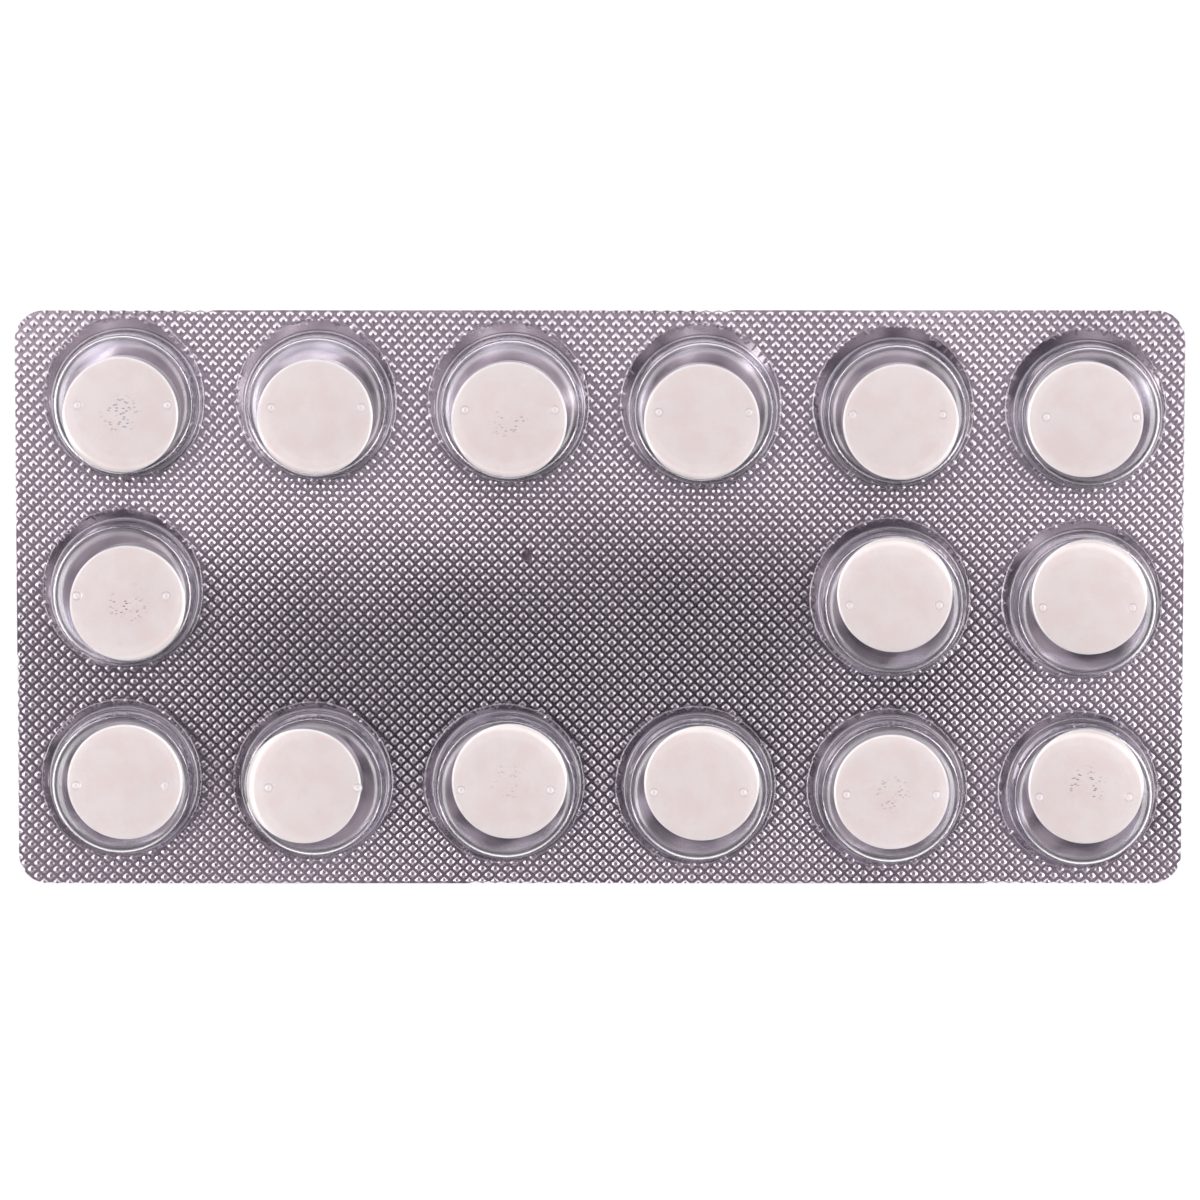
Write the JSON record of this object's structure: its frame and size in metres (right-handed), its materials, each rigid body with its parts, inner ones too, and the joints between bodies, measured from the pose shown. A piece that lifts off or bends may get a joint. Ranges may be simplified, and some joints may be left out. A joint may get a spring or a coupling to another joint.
{
  "type": "pill blister pack",
  "caption": "Flat clear thermoformed card with rows of round pockets, each holding a loose white flat-faced tablet, closed across its back by a plain aluminium push-through foil.",
  "frame": {"origin": "middle of the card on the bare side of the foil", "axes": "+X along the card's length, +Y towards the first row of six pockets, +Z out of the foil towards the pocket tops"},
  "size_m": [0.118, 0.0582, 0.0049],
  "materials": {
    "film": "clear glossy formed PVC film",
    "foil": "soft-bright rolled foil, knurled where it is sealed",
    "tablet": "smooth pressed tablet, faintly speckled"
  },
  "bodies": {
    "root": {"blister_film": "film", "lidding_foil": "foil", "tablet_01": "tablet", "tablet_02": "tablet", "tablet_03": "tablet", "tablet_04": "tablet", "tablet_05": "tablet", "tablet_06": "tablet", "tablet_07": "tablet", "tablet_08": "tablet", "tablet_09": "tablet", "tablet_10": "tablet", "tablet_11": "tablet", "tablet_12": "tablet", "tablet_13": "tablet", "tablet_14": "tablet", "tablet_15": "tablet"}
  },
  "joints": []
}
